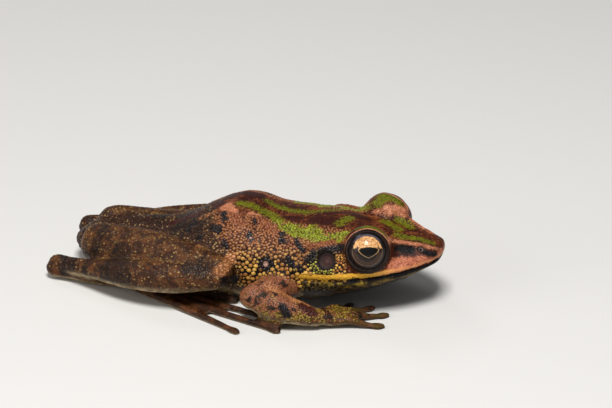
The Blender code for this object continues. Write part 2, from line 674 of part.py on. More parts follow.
def build_limbs():
    """Both arms and both legs, each segment cut clear of what it grows from."""
    for side in (RIGHT, LEFT):
        name = "left" if side == LEFT else "right"
        grown_body = combine(body("grown_body", GAP), shoulder_details(side, GAP), "UNION")
        make_thigh, make_shank = leg(side)
        make_upper_arm, make_forearm = arm(side)
        grown_thigh = make_thigh("grown_thigh", GAP)
        grown_shank = make_shank("grown_shank", GAP)
        grown_upper = make_upper_arm("grown_upper_arm", GAP)
        grown_lower = make_forearm("grown_forearm", GAP)
        thigh = clear_of(make_thigh(f"thigh_{name}"), grown_body)
        shank = clear_of(make_shank(f"shank_{name}"), grown_body, grown_thigh)
        whole_foot = clear_of(foot(side), grown_body, grown_thigh, grown_shank)
        upper = clear_of(make_upper_arm(f"upper_arm_{name}"), grown_body)
        lower = clear_of(make_forearm(f"forearm_{name}"), grown_body, grown_upper, grown_thigh, grown_shank)
        whole_hand = clear_of(hand(side), grown_body, grown_lower)
        for helper in (grown_body, grown_thigh, grown_shank, grown_upper, grown_lower):
            bpy.data.objects.remove(helper)
        for part in (thigh, shank, whole_foot):
            finish(stand_on_floor(part), "leg_skin")
        for part in (upper, lower, whole_hand):
            finish(stand_on_floor(part), "arm_skin")


def centre_on_origin():
    """Moves the model so that the origin is at the middle of its footprint, on the floor."""
    corners = [v.co for obj in MODEL.objects for v in obj.data.vertices]
    middle = Vector((
        (min(c.x for c in corners) + max(c.x for c in corners)) / 2,
        (min(c.y for c in corners) + max(c.y for c in corners)) / 2,
        0,
    ))
    for obj in MODEL.objects:
        obj.data.transform(Matrix.Translation(-middle))


def main():
    head, jaw, torso = head_and_trunk()
    eyes_and_ears(head)
    for part, look in ((head, "back_skin"), (jaw, "throat_skin"), (torso, "flank_skin")):
        finish(stand_on_floor(part), look)
    build_limbs()
    centre_on_origin()


for old in list(bpy.data.objects):
    bpy.data.objects.remove(old)
MODEL = bpy.data.collections.new("swinhoes_frog")
bpy.context.scene.collection.children.link(MODEL)
main()
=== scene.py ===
# %% [markdown]
# # A Swinhoe's frog, dressed over its solid model
# The solids give a frog's true size and its crouching pose, but their parts are separated by thin
# gaps and their surfaces are bare. This lesson covers them with one skin, wet, granular and marbled
# green on reddish brown, and gives the head what brings it alive: its eyes, lids, ears and mouth.

# %% Load the solids
import math

import bpy
import numpy as np
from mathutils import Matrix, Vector
from mathutils.bvhtree import BVHTree
from mathutils.interpolate import poly_3d_calc


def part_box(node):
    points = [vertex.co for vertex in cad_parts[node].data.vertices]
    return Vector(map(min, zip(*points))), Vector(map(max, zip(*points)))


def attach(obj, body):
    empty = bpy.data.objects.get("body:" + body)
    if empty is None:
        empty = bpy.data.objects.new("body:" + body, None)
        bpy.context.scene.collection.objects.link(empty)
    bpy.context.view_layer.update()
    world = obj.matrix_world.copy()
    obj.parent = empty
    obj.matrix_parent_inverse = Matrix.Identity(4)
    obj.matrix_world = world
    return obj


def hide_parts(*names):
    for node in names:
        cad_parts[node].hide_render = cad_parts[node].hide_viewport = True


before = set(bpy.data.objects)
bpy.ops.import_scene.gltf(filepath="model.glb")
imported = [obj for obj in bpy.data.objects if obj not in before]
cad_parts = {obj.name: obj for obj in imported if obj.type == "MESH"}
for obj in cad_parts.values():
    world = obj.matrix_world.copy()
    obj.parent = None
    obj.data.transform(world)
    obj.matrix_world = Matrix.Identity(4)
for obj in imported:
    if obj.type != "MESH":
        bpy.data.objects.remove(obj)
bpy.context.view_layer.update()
scene = bpy.context.scene
bpy.ops.object.select_all(action="DESELECT")
print("solids:", len(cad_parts))

# %% [markdown]
# Every place on a frog is easiest to say as it is measured on the animal: so many millimetres behind
# the tip of the snout, so many aside of its middle line and so high above the floor. One function
# turns such a place into the model's metres, and another turns the corners of a whole mesh back.

# %% Places on the frog
MM = 0.001
RIGHT, LEFT = 1, -1
AXES = (-1, -1, 1)  # behind and aside run against the model's x and y
head_low, head_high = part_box("head")
SNOUT_X = head_high.x / MM
MIDDLE_Y = (head_low.y + head_high.y) / 2 / MM


def spot(behind, aside, height, side=RIGHT):
    """A point in metres from millimetres behind the snout, aside to the frog's right, and up."""
    return Vector((SNOUT_X - behind, MIDDLE_Y - side * aside, height)) * MM


def to_frog(places):
    """Places in metres as (behind, aside, height) in millimetres."""
    places = places / MM
    return np.column_stack((SNOUT_X - places[:, 0], MIDDLE_Y - places[:, 1], places[:, 2]))


def folded(frog):
    """The same places with the left side's laid over the right side's."""
    return np.column_stack((frog[:, 0], np.abs(frog[:, 1]), frog[:, 2]))


def corners_of(obj):
    """The corners of a mesh and their normals, in metres."""
    found = []
    for kind in ("co", "normal"):
        values = np.empty(len(obj.data.vertices) * 3)
        obj.data.vertices.foreach_get(kind, values)
        found.append(values.reshape(-1, 3))
    return found


def measured(obj):
    """Each corner of a mesh as (behind, aside, height) in millimetres, and its normal the same way."""
    places, normals = corners_of(obj)
    return to_frog(places), normals * AXES


def move_out(obj, amounts):
    """Moves each corner of a mesh along its normal by its own amount in millimetres."""
    places, normals = corners_of(obj)
    places = places + normals * amounts[:, None] * MM
    places[:, 2] = np.maximum(places[:, 2], 0.0)
    obj.data.vertices.foreach_set("co", places.ravel())
    obj.data.update()


print("snout tip at x =", round(SNOUT_X, 2), "mm, middle at y =", round(MIDDLE_Y, 2), "mm")

# %% [markdown]
# The skin starts as a copy of all the solids of flesh. They are merged, because the loaded meshes are
# loose triangles, swelled until the gaps between them close, and remeshed into one surface of small
# even squares. Drawing that surface in again by almost as much leaves soft fillets where a thigh or
# an arm meets the body, as living skin has, and leaves the fingers as thin as they were.

# %% Gather the flesh
SWELL, DRAW_IN = 0.34, 0.31
COARSE, FINE = 0.30, 0.27  # the squares of the first and of the second remesh


def pick(*objects):
    """Selects these objects alone, the first of them active."""
    bpy.ops.object.select_all(action="DESELECT")
    for obj in objects:
        obj.select_set(True)
    bpy.context.view_layer.objects.active = objects[0]


def modify(obj, kind, **settings):
    """Adds a modifier with these settings and applies it."""
    modifier = obj.modifiers.new(kind.title(), kind)
    for key, value in settings.items():
        setattr(modifier, key, value)
    pick(obj)
    bpy.ops.object.modifier_apply(modifier=modifier.name)


def edit(obj, operator, **settings):
    """Runs an operator of edit mode on the whole of a mesh."""
    pick(obj)
    bpy.ops.object.mode_set(mode="EDIT")
    bpy.ops.mesh.select_all(action="SELECT")
    operator(**settings)
    bpy.ops.object.mode_set(mode="OBJECT")


def joined(objects):
    """One object made of these, its place in its mesh."""
    pick(*objects)
    bpy.ops.object.transform_apply()
    bpy.ops.object.join()
    return bpy.context.active_object


def add_object(name, data):
    """A new object in the scene."""
    obj = bpy.data.objects.new(name, data)
    scene.collection.objects.link(obj)
    return obj


def merged_copy(name):
    """A new object with the mesh of a solid, its loose triangles joined."""
    twin = add_object("flesh_" + name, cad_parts[name].data.copy())
    edit(twin, bpy.ops.mesh.remove_doubles, threshold=1e-6)
    return twin


covered = sorted(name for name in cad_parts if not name.startswith("eye"))
flesh = [merged_copy(name) for name in covered]
print("parts under the skin:", len(flesh))

# %% [markdown]
# The sockets are filled with balls before the remesh, so that nothing is left of the gap round each
# eye. They are cut again later, sharp and clean, for the eyes that this script makes itself.

# %% Fill the sockets
EYE_BEHIND, EYE_ASIDE, EYE_HEIGHT = 10.65, 6.2, 10.95
EYE_OUT = 0.2  # how far out from there the eyeball's middle lies, along the gaze
GAZE_FORWARD, GAZE_UP = math.radians(17), math.radians(23)
SOCKET_FILL = 3.55


def gaze(side):
    """The way an eye looks: out, a little forwards and up."""
    level = math.cos(GAZE_UP)
    forward, aside = math.sin(GAZE_FORWARD), -side * math.cos(GAZE_FORWARD)
    return Vector((forward * level, aside * level, math.sin(GAZE_UP)))


def eye_centre(side):
    return spot(EYE_BEHIND, EYE_ASIDE, EYE_HEIGHT, side) + gaze(side) * EYE_OUT * MM


def triangles(obj):
    return sum(len(p.vertices) - 2 for p in obj.data.polygons)


for side in (RIGHT, LEFT):
    bpy.ops.mesh.primitive_uv_sphere_add(
        segments=48, ring_count=24, radius=SOCKET_FILL * MM, location=eye_centre(side)
    )
    flesh.append(bpy.context.active_object)
skin = joined(flesh)
skin.name = skin.data.name = "skin"
print("triangles before the remesh:", triangles(skin))

# %% Close the gaps
modify(skin, "DISPLACE", strength=SWELL * MM, mid_level=0.0)
modify(skin, "REMESH", mode="VOXEL", voxel_size=COARSE * MM)
modify(skin, "SMOOTH", factor=0.5, iterations=3)
modify(skin, "DISPLACE", strength=-DRAW_IN * MM, mid_level=0.0)
modify(skin, "REMESH", mode="VOXEL", voxel_size=FINE * MM)
print("corners of the skin:", len(skin.data.vertices))

# %% [markdown]
# A remesh leaves faint steps. They are smoothed away on the body, and far less on the thin fingers and
# toes, which would wither. A group of weights says how much each corner may move.

# %% Smooth the body more than the digits
DIGIT_TOP, DIGIT_ASIDE = 2.6, 6.5  # the digits lie lower and further aside than this
LEVELS, LEAST, MORE = 10, 0.12, 0.088  # how many levels, the weight of the first and what each adds
behind, aside, height = folded(measured(skin)[0]).T
digit_share = np.clip((DIGIT_TOP - height) / 1.2, 0, 1) * np.clip((aside - DIGIT_ASIDE) / 1.5, 0, 1)
soften = skin.vertex_groups.new(name="soften")
for level in range(LEVELS + 1):
    members = np.flatnonzero(np.round((1 - digit_share) * LEVELS).astype(int) == level)
    soften.add(members.tolist(), LEAST + MORE * level, "REPLACE")
modify(skin, "SMOOTH", factor=0.5, iterations=8, vertex_group="soften")
skin.vertex_groups.clear()
print("corners of the digits:", int((digit_share > 0.5).sum()))

# %% [markdown]
# The mouth, the folds and the rims are too fine for the remesh, so they are modelled now, by pushing
# the surface in or out along soft lines. Each line is a short list of places measured on the frog.

# %% Distance to a line on the frog
MOUTH_HEIGHT = ((0, 8.75), (4, 7.95), (8, 7.3), (13, 6.62), (17, 6.2), (21, 6.0))


def distance_to(places, line):
    """How far each place lies from a line of points, in millimetres."""
    line = np.array(line, float)
    if len(line) == 1:
        return np.linalg.norm(places - line[0], axis=1)
    nearest = np.full(len(places), np.inf)
    for start, end in zip(line, line[1:]):
        run = end - start
        share = np.clip((places - start) @ run / (run @ run), 0, 1)
        nearest = np.minimum(nearest, np.linalg.norm(places - start - share[:, None] * run, axis=1))
    return nearest


def bell(distance, width):
    """1 on a line, falling softly to 0 a few widths away."""
    return np.exp(-((distance / width) ** 2))


def ramp(value, low, high):
    """0 below low, 1 above high and smooth between."""
    share = np.clip((value - low) / (high - low), 0, 1)
    return share * share * (3 - 2 * share)


print("the corner of the mouth is", MOUTH_HEIGHT[-1][0], "mm behind the snout")

# %% Model the mouth, the folds and the rims
EAR = (16.4, 8.65, 9.45)
NOSTRIL = (3.0, 2.95, 10.35)
LIPS = ((-0.34, 0.0, 0.2), (0.10, 0.75, 0.4), (0.06, -0.7, 0.35))  # push, how far above the mouth, width
frog, facing = measured(skin)
paired = folded(frog)
above_mouth = frog[:, 2] - np.interp(frog[:, 0], *zip(*MOUTH_HEIGHT))
outside = ramp(np.abs(facing[:, 1]) + np.maximum(-facing[:, 0], 0), 0.3, 0.6)
mouth_share = (1 - ramp(frog[:, 0], 19.5, 21.2)) * outside
move = np.zeros(len(frog))
for push, above, width in LIPS:
    move += push * bell(above_mouth - above, width) * mouth_share

ear_distance = distance_to(paired, [EAR])
move += 0.10 * bell(ear_distance - 1.75, 0.22) - 0.16 * (1 - ramp(ear_distance, 1.35, 1.6))
nostril_distance = distance_to(paired, [NOSTRIL])
move += 0.10 * bell(nostril_distance - 0.72, 0.25) - 0.45 * bell(nostril_distance, 0.33)

FOLDS = (  # push, width and line
    (0.22, 0.55, ((13.5, 7, 12), (16.5, 7.6, 11.5), (19, 8, 10.6), (20.6, 8.8, 9.2), (21.4, 9.5, 7.6))),
    (0.16, 0.55, (
        (14.5, 5.8, 12.3), (18, 6.3, 12), (24, 6.2, 11.8),
        (30, 6.3, 12.4), (36, 5.6, 11.4), (44, 3.8, 8.4),
    )),
    (0.10, 0.45, ((7.4, 5.2, 12.9), (4.5, 3.3, 11.4), (2, 2.2, 10.8))),
    (-0.14, 0.6, ((8, 7.2, 9.6), (5, 5.4, 9.7), (3, 4.3, 9.6))),
)
for push, width, line in FOLDS:
    move += push * bell(distance_to(paired, line), width)
move_out(skin, move)
print("deepest push", round(float(move.min()), 2), "mm, highest", round(float(move.max()), 2), "mm")

# %% [markdown]
# The lids are what stands round the eyeball once its socket is cut: a ball cuts the hollow, and a
# short drum cuts the skin away in front, which leaves a flat rim. The cutters are made as new
# primitives, and the Boolean is applied at once.

# %% Cut the sockets
SOCKET_RADIUS = 3.36
LID_RIM = 1.75  # from the middle of the eyeball to the rim, along the gaze
CUTTER_RADIUS, CUTTER_DEPTH = 4.4, 3.0


def turned(look):
    """The rotation that points an object's top that way."""
    return look.to_track_quat("Z", "Y").to_euler()


def ball_at_eye(side, radius):
    """A fine ball where an eye is, its top along the gaze."""
    bpy.ops.mesh.primitive_uv_sphere_add(
        segments=96, ring_count=64, radius=radius * MM,
        location=eye_centre(side), rotation=turned(gaze(side)),
    )
    return bpy.context.active_object


balls, drums = [], []
for side in (RIGHT, LEFT):
    balls.append(ball_at_eye(side, SOCKET_RADIUS))
    bpy.ops.mesh.primitive_cylinder_add(
        vertices=96, radius=CUTTER_RADIUS * MM, depth=CUTTER_DEPTH * MM, rotation=turned(gaze(side)),
        location=eye_centre(side) + gaze(side) * (LID_RIM + CUTTER_DEPTH / 2) * MM,
    )
    drums.append(bpy.context.active_object)
for cutters in (balls, drums):
    cutter = joined(cutters)
    modify(skin, "BOOLEAN", operation="DIFFERENCE", object=cutter, solver="EXACT")
    bpy.data.objects.remove(cutter)
edit(skin, bpy.ops.mesh.dissolve_degenerate, threshold=2e-6)
print("corners after the cut:", len(skin.data.vertices))

# %% [markdown]
# The markings are painted the way a field guide describes them: strokes and patches, each a line of
# places with a width. For every corner of the skin the script stores how deep it lies inside a kind
# of mark, in millimetres. The material later turns that smooth depth into a crisp, ragged edge.

# %% The marks
MARKS = {}  # strokes of each kind, each a radius and a line of places, all in millimetres
MARKS["green"] = (
    (0.8, ((32.2, 1.5, 13.8), (29.8, 1.6, 13.5), (27.2, 2.2, 12.8), (25.5, 3.3, 12.5))),
    (0.7, ((28.5, -1.2, 13.2), (26.4, -0.7, 12.9), (24.4, -0.1, 12.8), (22.2, -0.3, 12.8))),
    (0.45, ((22.2, -0.3, 12.8), (19.9, -1.4, 12.7), (18.3, -2.6, 12.6), (16.9, -4.2, 12.2))),
    (1.15, ((23.8, 4.5, 12.1), (22.1, 4.9, 12), (20.3, 5.1, 12), (18.6, 5.5, 11.7))),
    (0.8, ((20, 3.9, 12.3), (17.6, 5.6, 11.7))),
    (0.8, ((16.1, 2, 12.6), (15.2, -0.1, 12.8))),
    (0.65, ((16.6, 5, 11.9), (14.5, 4.1, 12.1))),
    (0.35, ((12.3, 6.2, 14.3), (10.4, 6.2, 14.8), (8.6, 5.2, 14.3))),
    (0.5, ((14.9, -6.2, 11.3), (13.1, -4.3, 12.8))),
    (0.85, ((9.7, -1.5, 12.1), (8.4, -0.9, 12), (7.4, -0.3, 11.9))),
    (0.75, ((8.4, -3.3, 11.8), (7.2, -3, 11.5), (6.1, -2.1, 11.4))),
    (0.7, ((6.9, 1.5, 11.7), (4.8, 1.1, 11.3), (3.3, 0.8, 11), (1.9, 0.9, 10.7))),
    (1.15, ((11.8, -4.3, 14.1), (11, -5.3, 14.7), (9.8, -5.9, 14.8), (8.5, -5.8, 14.3))),
)
MARKS["maroon"] = (
    (0.7, ((32.2, 0, 13.8), (30.8, -1.8, 13.6), (28.6, -1.5, 13.2))),
    (0.55, ((24.9, 2.3, 12.6), (22.5, 1.8, 12.7))),
    (1, ((20, 1.8, 12.7), (18.3, 2, 12.7), (16.9, 1.4, 12.7))),
    (0.4, ((25.6, -1.1, 12.8), (23.5, -1.5, 12.7))),
    (0.8, ((14.6, -1.2, 12.7), (12.4, -1, 12.6))),
    (0.4, ((5.9, -1.1, 11.5), (4.7, -1.7, 11.2))),
    (0.35, ((19.2, -0.5, 12.8), (16.4, -1.9, 12.7))),
    (0.5, ((6.6, 5.3, 10.2), (4, 4.5, 9.9), (2, 4, 9.75))),
    (0.8, ((18.6, 14.2, 4.1), (16.9, 14.1, 3.3))),
    (1.1, ((35.2, -1.9, 13), (32.6, -2.5, 13.7), (30.4, -2.9, 13.4))),
    (0.9, ((35.8, 0.8, 13), (37.5, -1.2, 12))),
    (0.8, ((38.5, 1.4, 11.4), (41, 0.4, 10.2), (43.5, 1.2, 8.8))),
)
MARKS["pink"] = (
    (1.1, ((34.3, 2, 13.2), (32.7, 4.3, 13.2), (31, 5.8, 12.4))),
    (0.9, ((29.7, 3.7, 13.1), (26.8, 4.8, 12.1), (24.9, 5.6, 11.6))),
    (0.5, ((20.7, 6.5, 10.4), (18.1, 7.1, 11.3), (16.3, 6.8, 11.6), (14.3, 5.3, 11.7))),
    (0.3, ((12.6, 7.4, 13.8), (11.4, 7.2, 14.5), (8.7, 6.4, 14.5), (7.4, 5.6, 13.4))),
    (0.5, ((7.3, 5.6, 12.9), (6.2, 4.1, 12), (5.1, 3.4, 11.6), (3.7, 2.7, 11.3), (2.3, 2.3, 10.9))),
    (0.4, ((2.3, 2.2, 10.8), (1.2, 1.8, 10.4), (0.3, 1.3, 10))),
    (0.7, ((6.2, 6.1, 9.4), (4.9, 5.4, 9.6), (3.2, 4.6, 9.8), (1.6, 3.8, 9.7))),
    (1.05, ((9.8, -3.5, 13.4), (8.6, -3.9, 13.3), (7.8, -4.3, 12.9))),
    (0.45, ((11.8, -3.2, 13), (10.9, -3.2, 13.1))),
)
MARKS["black"] = (
    (0.6, ((34.4, 3.9, 12.8), (33.6, 5.2, 12.6))),
    (0.45, ((29.1, 4.5, 12.7), (28.8, 5, 12.5))),
    (0.5, ((29.2, 7, 11.5), (28.9, 7.4, 11))),
    (0.55, ((24.4, 5.7, 11.5), (23.7, 6.8, 10.9))),
    (0.55, ((21.6, 6.7, 11), (20.9, 7.4, 10.6), (20, 8, 10.1))),
    (1.35, ((25.9, 9.2, 7.8),)),
    (0.7, ((22.5, 8.7, 8.8), (21.4, 9.1, 8.2), (20.3, 9.6, 8.1))),
    (0.68, ((19.2, 8.9, 9.4), (18.2, 8.1, 10.3), (16.4, 7.4, 10.7), (14.9, 7, 11), (13.4, 8.2, 11.8))),
    (0.72, ((6.5, 4.5, 11), (5.4, 4, 10.7), (4.4, 3.7, 10.6))),
    (0.66, ((3.1, 2.9, 10.4),)),
    (0.6, ((2.3, 3.1, 10.2), (1.5, 3.2, 10), (0.8, 2.8, 10))),
    (0.7, ((35.2, 6.2, 11.4), (34.1, 6.7, 11.5))),
    (0.5, ((12.7, 8.9, 6.6), (11.6, 8.7, 6.9))),
    (0.5, ((9.8, 8.2, 7), (8.7, 7.7, 7.1), (7.8, 7.2, 7.3))),
    (0.55, ((7.2, 6.9, 7.45), (5.8, 6.5, 7.5), (4.5, 5.8, 7.65))),
    (0.45, ((4, 5.5, 7.7), (2.8, 4.6, 7.85), (1.4, 3.4, 8.2), (0.6, 2.1, 8.5))),
    (0.7, ((21.3, 15.7, 4.4), (20.5, 15.9, 3.2))),
    (0.8, ((31.6, 13.1, 6), (30.9, 11.6, 5.4), (30.6, 10.2, 4.8))),
    (0.5, ((36.5, 6.4, 10), (37.6, 6.9, 9.2))),
    (0.6, ((38.9, 3.5, 10.6), (39.8, 4.6, 9.6))),
    (0.45, ((32.9, 8.4, 10.6), (32.1, 9.1, 9.7))),
)
MARKS["pale"] = (
    (0.5, ((25.9, 9.25, 7.9),)),
    (0.22, ((28.85, 7.45, 11),)),
    (0.2, ((31.7, -0.6, 13.9),)),
    (0.16, ((30.3, -0.9, 13.7),)),
    (0.14, ((29.2, -0.6, 13.4),)),
    (0.18, ((22.8, -0.9, 12.8),)),
)
MARKS["tan"] = (
    (1.1, ((32.1, 13.1, 7.7), (31.3, 11.5, 8.3), (31.2, 10, 8.7))),
    (0.6, ((38.3, 3, 11),)),
    (0.75, ((37.2, 3, 11.7),)),
    (0.75, ((36.2, 2.8, 12.3),)),
    (0.5, ((36.6, 8.6, 9.6), (37.4, 9.6, 8.2))),
    (0.9, ((24.2, 13, 6.2), (20.4, 13.4, 5), (18.2, 13.4, 3.9))),
)
MIRROR_FROM = 2.2  # a stroke that keeps further aside than this is painted on both sides
SHIFT = np.array((0.5, 0.3, 0.0))  # of the marks on the left side, which aren't an exact mirror image
SHIFT_FROM = 9.0  # how far behind the snout the shift begins
FAR = 9.0  # more than any distance that matters


def depth_in(places, strokes):
    """How deep each place lies inside the nearest stroke, in millimetres, below 0 outside."""
    depth = np.full(len(places), -FAR)
    for radius, line in strokes:
        line = np.array(line, float)
        depth = np.maximum(depth, radius - distance_to(places, line))
        if np.abs(line[:, 1]).min() > MIRROR_FROM:
            other_side = (line + SHIFT * (line[:, :1] > SHIFT_FROM)) * (1, -1, 1)
            depth = np.maximum(depth, radius - distance_to(places, other_side))
    return depth


def store(obj, name, values):
    """Keeps a number for each corner of a mesh, for its material to read."""
    attribute = obj.data.attributes.new(name, "FLOAT", "POINT")
    attribute.data.foreach_set("value", np.asarray(values, np.float32))


print("kinds of marks:", len(MARKS))

# %% [markdown]
# The rest of the colour follows the body: the legs, the arms, the lip, the throat and the lids each
# have their own ground. How near a place lies to the solids of a limb says how much it belongs to it.

# %% The regions
EAR_SPREAD = 1.45  # no granule stands nearer to the middle of the ear


def search_tree(meshes):
    """A tree that finds the nearest place on these meshes."""
    corners, faces = [], []
    for mesh in meshes:
        first = len(corners)
        corners += [v.co.copy() for v in mesh.vertices]
        faces += [tuple(first + k for k in p.vertices) for p in mesh.polygons]
    return BVHTree.FromPolygons(corners, faces)


trees = []
for starts in (("head", "lower_jaw", "torso"), ("upper_arm", "forearm", "hand"), ("thigh", "shank", "foot")):
    trees.append(search_tree([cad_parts[name].data for name in covered if name.startswith(starts)]))


def lids(points):
    """How far each point lies from the middle of an eye's opening, and how much it is upper lid."""
    ring, lid_top = np.full(len(points), FAR), np.zeros(len(points))
    for side in (RIGHT, LEFT):
        look = np.array(gaze(side))
        arm_out = (np.array(points) - np.array(eye_centre(side))) / MM
        out = arm_out @ look
        aslant = arm_out - out[:, None] * look
        across = np.linalg.norm(aslant, axis=1)
        brow = np.where(aslant[:, 2] > 0, 0.28, -0.14) * aslant[:, 2] / np.maximum(across, 0.1)
        this_ring = across + brow + 2.2 * np.maximum(1.35 - out, 0)
        ring = np.where(out > 0.6, np.minimum(ring, this_ring), ring)
        lid_top = np.maximum(lid_top, ramp(aslant[:, 2], -0.4, 1.6) * (across < 5))
    return ring, lid_top


def paint(frog, facing):
    """What the material needs at each place: the depth in each mark and the share of each region."""
    points = [spot(*place) for place in frog]
    to_body, to_arms, to_legs = (
        np.array([tree.find_nearest(point)[3] for point in points]) / MM for tree in trees
    )
    arm = ramp(np.minimum(to_body, to_legs) - to_arms, -0.5, 0.7)
    leg = ramp(np.minimum(to_body, to_arms) - to_legs, -0.5, 0.7)
    trunk = np.clip(1 - arm - leg, 0, 1)
    off_head = 20 * (1 - trunk)
    paired = folded(frog)
    behind, aside, height = paired.T
    mouth = np.interp(behind, *zip(*MOUTH_HEIGHT))
    middle = np.interp(behind, (0, 4, 8, 13, 20), (0.5, 0.65, 0.75, 0.75, 0.65))
    half = np.interp(behind, (0, 4, 8, 13, 20), (0.34, 0.46, 0.54, 0.55, 0.62))
    lip = half + 0.05 - np.abs(height - mouth - middle) - (0.8 * ramp(behind, 19.5, 22) + off_head)
    loreal = np.minimum(height - mouth - 0.5, 10.1 - height) - (4 * ramp(behind, 6.6, 8.4) + off_head)
    throat = np.where(behind < 22, mouth - height, 0) - 3 * ramp(behind, 19, 23) - off_head
    rear = ramp(behind - 1.1 * np.maximum(height, 7), 20.8, 23.6)
    under = ramp(-facing[:, 2], 0.2, 0.7) * ramp(6 - height, 0, 3) * ramp(behind, 9, 16)
    ear = distance_to(paired, [EAR])
    ring, lid_top = lids(points)
    flank = ramp(aside, 2.6, 4.6) * ramp(behind, 12.0, 15.0) * ramp(13.7 - height, 0, 1.2) * trunk
    flank = np.maximum(flank, (0.3 + 0.35 * ramp(aside, 3, 6)) * rear * trunk)
    limbs = np.maximum(0.7 * leg * ramp(height, 1.5, 3), 0.9 * arm * ramp(height, 1.0, 2.2))
    grain = np.maximum(flank, limbs)
    grain *= (1 - ramp(lip, -0.15, 0.2)) * ramp(ear, EAR_SPREAD, EAR_SPREAD + 0.2)
    grain *= ramp(ring, 3.75, 4.1) * (1 - under) * (1 - 0.6 * ramp(throat, 0, 0.6))
    values = {name: depth_in(frog, strokes) for name, strokes in MARKS.items()}
    values.update(
        arm=arm, leg=leg, arm_low=ramp(4.6 - height, 0, 2.5),
        lip=lip, chin=ramp(mouth + middle - height, 0, 0.5), front=1 - ramp(behind, 4.5, 10),
        loreal=loreal, throat=throat, low=ramp(11.8 - height, 0, 5.4), rear=rear, under=under,
        ear=ear, nostril=distance_to(paired, [NOSTRIL]), ring=ring, lid_top=lid_top,
        grain=np.clip(grain, 0, 1),
    )
    return values


frog, facing = measured(skin)
fields = paint(frog, facing)
for name, values in fields.items():
    store(skin, name, values)
for name in MARKS:
    print(name, "covers", round(100 * float((fields[name] > 0).mean()), 1), "% of the corners")

# %% [markdown]
# A material is a small calculation at every point of a surface. Written node by node it is hard to
# read, so a class wraps a node's socket and lets Python's own signs add the nodes: a + b, 1 - mask.

# %% Shader sums


class Signal:
    """A socket of a shader, on which sums are written as on a number."""

    def __init__(self, shader, socket):
        self.shader, self.socket = shader, socket

    def __add__(self, other):
        return self.shader.sum("ADD", self, other)

    def __sub__(self, other):
        return self.shader.sum("SUBTRACT", self, other)

    def __rsub__(self, other):
        return self.shader.sum("SUBTRACT", other, self)

    def __mul__(self, other):
        return self.shader.sum("MULTIPLY", self, other)

    def __abs__(self):
        return self.shader.sum("ABSOLUTE", self)

    __radd__, __rmul__ = __add__, __mul__


class Shader:
    """A material and its nodes."""

    def __init__(self, name):
        self.material = bpy.data.materials.new(name)
        self.material.use_nodes = True
        self.tree = self.material.node_tree
        self.surface = self.tree.nodes["Principled BSDF"]

    def node(self, kind, settings=None, sockets=None, output=0):
        """Adds a node with its settings, then the values or links of its sockets."""
        made = self.tree.nodes.new(kind)
        for key, value in (settings or {}).items():
            setattr(made, key, value)
        for key, value in (sockets or {}).items():
            self.connect(made.inputs[key], value)
        return Signal(self, made.outputs[output])

    def connect(self, socket, value):
        if isinstance(value, Signal):
            self.tree.links.new(value.socket, socket)
        elif isinstance(value, tuple) and len(socket.default_value) == 4:
            socket.default_value = (*value, 1)
        else:
            socket.default_value = value

    def set(self, **sockets):
        """Sets sockets of the surface, named with underscores for spaces."""
        for key, value in sockets.items():
            self.connect(self.surface.inputs[key.replace("_", " ")], value)

    def sum(self, operation, first, second=0.0):
        return self.node("ShaderNodeMath", {"operation": operation}, {0: first, 1: second})

    def place(self):
        return self.node("ShaderNodeTexCoord", output="Object")

    def noise(self, place, size, detail=3.0, roughness=0.55, distortion=0.0):
        """Cloudy noise about 0, its clouds this many millimetres across."""
        sockets = {"Vector": place, "Scale": 1 / (size * MM), "Detail": detail, "Roughness": roughness}
        return self.node("ShaderNodeTexNoise", {}, {**sockets, "Distortion": distortion}) - 0.5

    def field(self, name):
        return self.node("ShaderNodeAttribute", {"attribute_name": name}, output="Fac")

    def step(self, value, low, high):
        """0 below low, 1 above high, smooth between."""
        sockets = {"Value": value, "From Min": low, "From Max": high}
        return self.node("ShaderNodeMapRange", {"interpolation_type": "SMOOTHSTEP"}, sockets)

    def blend(self, share, first, second, way="MIX"):
        """Mixes two colours."""
        settings = {"data_type": "RGBA", "blend_type": way}
        return self.node("ShaderNodeMix", settings, {0: share, 6: first, 7: second}, 2)

    def over(self, ground, *layers):
        """A ground with layers laid over it in their order, each a share and a colour."""
        for share, layer in layers:
            ground = self.blend(share, ground, layer)
        return ground


def colour(red, green, blue):
    """A colour as a screen shows it, from 0 to 255 each, as the light that it stands for."""
    shown = (red / 255, green / 255, blue / 255)
    return tuple(c / 12.92 if c <= 0.04 else ((c + 0.055) / 1.055) ** 2.4 for c in shown)


print("shader sums are ready")

# %% [markdown]
# Swinhoe's frog is rough to the touch: its flanks, arms and legs are set with low granules, close
# together like beads. Each one is a small dome of a few faces, and thousands of them are laid out at
# random, none nearer to another than their sizes allow, on the skin's own surface.

# %% Lay out the granules
GRANULE_TRIES, SEED = 200000, 7
CELL = 0.8  # of the search grid, in millimetres, wider than any two granules together
TOUCH = 0.78  # how near two granules may come, as a share of their radii together


def random_places(count, draw):
    """Random places spread over the solids and moved to the skin, with the skin's normal at each."""
    corners = []
    for name in covered:
        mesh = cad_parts[name].data
        corners += [[mesh.vertices[k].co for k in p.vertices] for p in mesh.polygons]
    a, b, c = (np.array([corner[k] for corner in corners]) for k in range(3))
    areas = np.linalg.norm(np.cross(b - a, c - a), axis=1)
    chosen = draw.choice(len(corners), count, p=areas / areas.sum())
    u, v = np.sqrt(draw.random((count, 1))), draw.random((count, 1))
    scattered = (1 - u) * a[chosen] + u * (1 - v) * b[chosen] + u * v * c[chosen]
    tree = BVHTree.FromObject(skin, bpy.context.evaluated_depsgraph_get())
    found = [tree.find_nearest(place)[:2] for place in scattered]
    places, normals = (np.array(values) for values in zip(*found))
    return to_frog(places), normals * AXES


